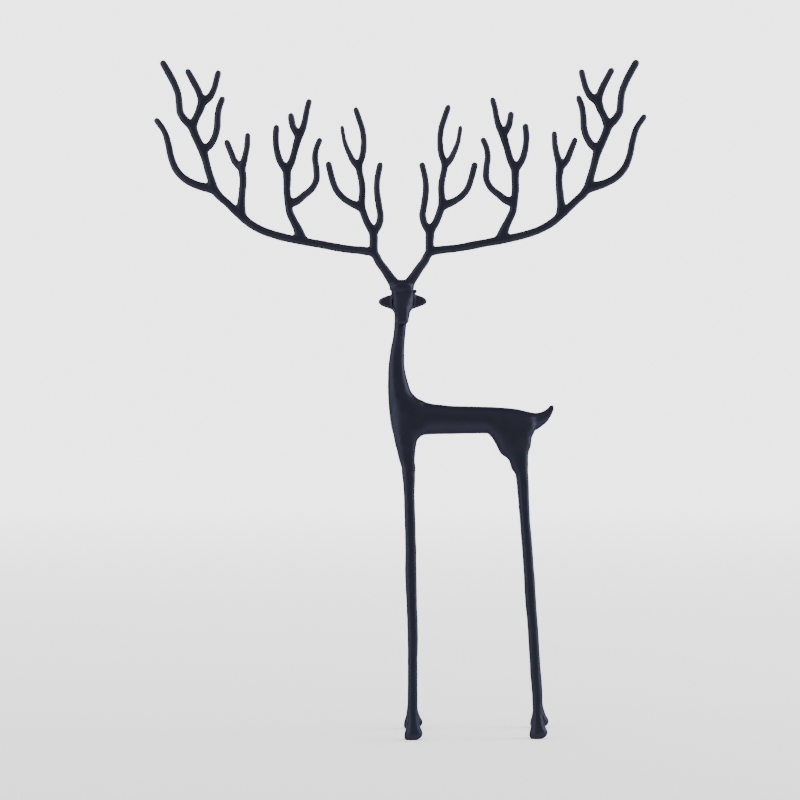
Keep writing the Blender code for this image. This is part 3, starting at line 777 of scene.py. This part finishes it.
finish = new_material("blackened_aluminium")
tree = finish.node_tree
place = node(tree, "ShaderNodeTexCoord").outputs["Object"]
patches = node(tree, "ShaderNodeTexNoise", Vector=place, Scale=1 / TINT_PATCH, Detail=3.0)
oxide = node(
    tree, "ShaderNodeMix", {"data_type": "RGBA"}, i0=patches.outputs["Fac"], i6=colour(VIOLET_BLACK),
    i7=colour(BLUE_BLACK))
proudness = node(tree, "ShaderNodeAttribute", {"attribute_name": "burnish_and_highlight"})
# Share of the lighter colour on proud points: rubbed wear and painted highlight.
rubbed_and_highlight_share = node(
    tree, "ShaderNodeMapRange", i0=proudness.outputs["Fac"], i1=RUBBED_AND_HIGHLIGHT_RANGE[0], i2=RUBBED_AND_HIGHLIGHT_RANGE[1],
    i3=0.0, i4=RUBBED_AND_HIGHLIGHT_MOST)
tint = node(
    tree, "ShaderNodeMix", {"data_type": "RGBA"}, i0=rubbed_and_highlight_share.outputs["Result"],
    i6=oxide.outputs[2], i7=colour(RUBBED_AND_HIGHLIGHT))
gloss = node(tree, "ShaderNodeTexNoise", Vector=place, Scale=1 / GLOSS_PATCH, Detail=4.0)
roughness = node(
    tree, "ShaderNodeMapRange", i0=gloss.outputs["Fac"], i1=NOISE_RANGE[0], i2=NOISE_RANGE[1],
    i3=ROUGHNESS[0], i4=ROUGHNESS[1])
sand = node(tree, "ShaderNodeTexNoise", Vector=place, Scale=1 / GRAIN, Detail=2.0)
bump = node(
    tree, "ShaderNodeBump", Height=sand.outputs["Fac"], Strength=GRAIN_STRENGTH, Distance=GRAIN_DEPTH)
shader = node(
    tree, "ShaderNodeBsdfPrincipled", Base_Color=tint.outputs[2], Metallic=1.0,
    Roughness=roughness.outputs["Result"], Normal=bump.outputs["Normal"],
    Specular_Tint=colour(GRAZING_TINT))
node(tree, "ShaderNodeOutputMaterial", Surface=shader.outputs["BSDF"])
casting.materials.clear()
casting.materials.append(finish)
print(finish.name, "has", len(tree.nodes), "nodes")

# %% [markdown]
# ## The piece
#
# The two small beads beside the skull are joined to the casting, and the piece takes the CAD solid's place.

# %% Beads and piece
piece = bpy.data.objects.new("deer_casting", casting)
bpy.context.scene.collection.objects.link(piece)
bead_mesh = bpy.data.meshes.new("beads")
balls = bmesh.new()
for out, drop in EYES:
    ball = bmesh.ops.create_uvsphere(
        balls, u_segments=EYE_SIDES, v_segments=EYE_RINGS, radius=EYE_DIAMETER / 2 + HALO)
    middle = np.array((HEAD_MIDDLE + out, -EYE_FORWARD, CROWN_BASE - drop)) - middle_shift
    bmesh.ops.translate(balls, verts=ball["verts"], vec=middle)
balls.to_mesh(bead_mesh)
balls.free()
bead_mesh.materials.append(finish)
beads = bpy.data.objects.new("beads", bead_mesh)
bpy.context.scene.collection.objects.link(beads)
union = piece.modifiers.new("beads", "BOOLEAN")
union.operation = "UNION"
union.solver = "EXACT"
union.object = beads
joined = bpy.data.meshes.new_from_object(piece.evaluated_get(bpy.context.evaluated_depsgraph_get()))
piece.modifiers.clear()
piece.data = joined
bpy.data.objects.remove(beads, do_unlink=True)
joined.polygons.foreach_set("use_smooth", np.ones(len(joined.polygons), dtype=bool))
joined.name = "deer_casting"
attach(piece, "root")
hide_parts("deer")
print("piece:", len(joined.polygons), "faces")

# %% [markdown]
# ## Stage, light and camera
#
# The photograph was taken against pure white. Here a sheet of white paper is the floor, the room is an even
# white whose wall behind the deer is lit much more strongly, and the paper glows towards that wall, so that
# the two meet without a line. A large dim softbox stands on the left and a smaller, brighter one on the
# right, and their reflections draw the light strips along the neck, the muzzle and the legs.

# %% Stage
FLOOR_HALF = 12.0
WHITE = "#ffffff"
PAPER = "#e6e6e6"
PAPER_ROUGHNESS = 0.9
GLOW_RANGE = (-2.5, 6.0)       # places along Y where the paper's glow starts and where it is full
FAR_GLOW = 2.4
ROOM_RADIANCE = 1.0
WALL_RADIANCE = 3.5
WALL_RANGE = (0.80, 0.97)      # the cosine to straight behind where the wall's light starts and is full
CEILING_RADIANCE = 1.4
CEILING_RANGE = (0.1, 0.8)     # the same to straight up, for the ceiling
corners = [(x * FLOOR_HALF, y * FLOOR_HALF, 0) for x, y in ((-1, -1), (1, -1), (1, 1), (-1, 1))]
floor_mesh = bpy.data.meshes.new("floor")
floor_mesh.from_pydata(corners, [], [(0, 1, 2, 3)])
floor = bpy.data.objects.new("floor", floor_mesh)
bpy.context.scene.collection.objects.link(floor)
# Matt white paper. Its surface scatters light evenly and shows no gloss, and it carries a painted glow, an
# emission that grows towards the back.
paper = new_material("white_paper")
tree = paper.node_tree
place = node(tree, "ShaderNodeSeparateXYZ", i0=node(tree, "ShaderNodeTexCoord").outputs["Object"])
# Painted glow: the paper emits light that grows towards the back.
glow = node(
    tree, "ShaderNodeMapRange", {"interpolation_type": "SMOOTHSTEP"}, i0=place.outputs["Y"],
    i1=GLOW_RANGE[0], i2=GLOW_RANGE[1], i3=0.0, i4=FAR_GLOW)
shader = node(
    tree, "ShaderNodeBsdfPrincipled", Base_Color=colour(PAPER), Roughness=PAPER_ROUGHNESS,
    Emission_Color=colour(WHITE), Emission_Strength=glow.outputs["Result"])
node(tree, "ShaderNodeOutputMaterial", Surface=shader.outputs["BSDF"])
floor_mesh.materials.append(paper)

world = bpy.data.worlds.new("white_surround")
world.use_nodes = True
tree = world.node_tree
tree.nodes.clear()
way = node(tree, "ShaderNodeSeparateXYZ", i0=node(tree, "ShaderNodeTexCoord").outputs["Generated"])
wall = node(
    tree, "ShaderNodeMapRange", {"interpolation_type": "SMOOTHSTEP"}, i0=way.outputs["Y"],
    i1=WALL_RANGE[0], i2=WALL_RANGE[1], i3=0.0, i4=WALL_RADIANCE - ROOM_RADIANCE)
ceiling = node(
    tree, "ShaderNodeMapRange", {"interpolation_type": "SMOOTHSTEP"}, i0=way.outputs["Z"],
    i1=CEILING_RANGE[0], i2=CEILING_RANGE[1], i3=ROOM_RADIANCE, i4=CEILING_RADIANCE)
both = node(
    tree, "ShaderNodeMath", {"operation": "ADD"}, i0=wall.outputs["Result"],
    i1=ceiling.outputs["Result"])
sky = node(tree, "ShaderNodeBackground", Color=colour(WHITE), Strength=both.outputs["Value"])
node(tree, "ShaderNodeOutputWorld", Surface=sky.outputs["Background"])
bpy.context.scene.world = world


AIM_HEIGHT = 0.3


def softbox(name, where, width, height, radiance):
    """A rectangular area light that faces the deer; its power gives the radiance asked for."""
    lamp = bpy.data.lights.new(name, "AREA")
    lamp.shape = "RECTANGLE"
    lamp.size, lamp.size_y = width, height
    lamp.energy = radiance * np.pi * width * height
    box = bpy.data.objects.new(name, lamp)
    box.location = where
    towards = np.array((0, 0, AIM_HEIGHT)) - np.array(where)
    box.rotation_euler = (
        math.atan2(math.hypot(towards[0], towards[1]), -towards[2]), 0,
        math.atan2(towards[1], towards[0]) - math.pi / 2)
    box.visible_camera = False
    bpy.context.scene.collection.objects.link(box)
    return box


softbox("left_softbox", (-2.0, -0.5, 0.95), 3.0, 1.8, 2.2)
softbox("right_softbox", (1.8, 0.1, 0.95), 1.3, 1.8, 6.0)
print("two softboxes")

# %% Camera
CAMERA_PLACE = (-0.0002, -2.470, 0.3017)
LENS = 122.8         # millimetres
SENSOR_WIDTH = 36.0  # millimetres
camera_data = bpy.data.cameras.new("camera")
camera_data.lens = LENS
camera_data.sensor_width = SENSOR_WIDTH
camera = bpy.data.objects.new("camera", camera_data)
camera.location = CAMERA_PLACE
camera.rotation_euler = (math.radians(90), 0, 0)
bpy.context.scene.collection.objects.link(camera)
bpy.context.scene.camera = camera
print("camera at", tuple(round(c, 3) for c in camera.location))
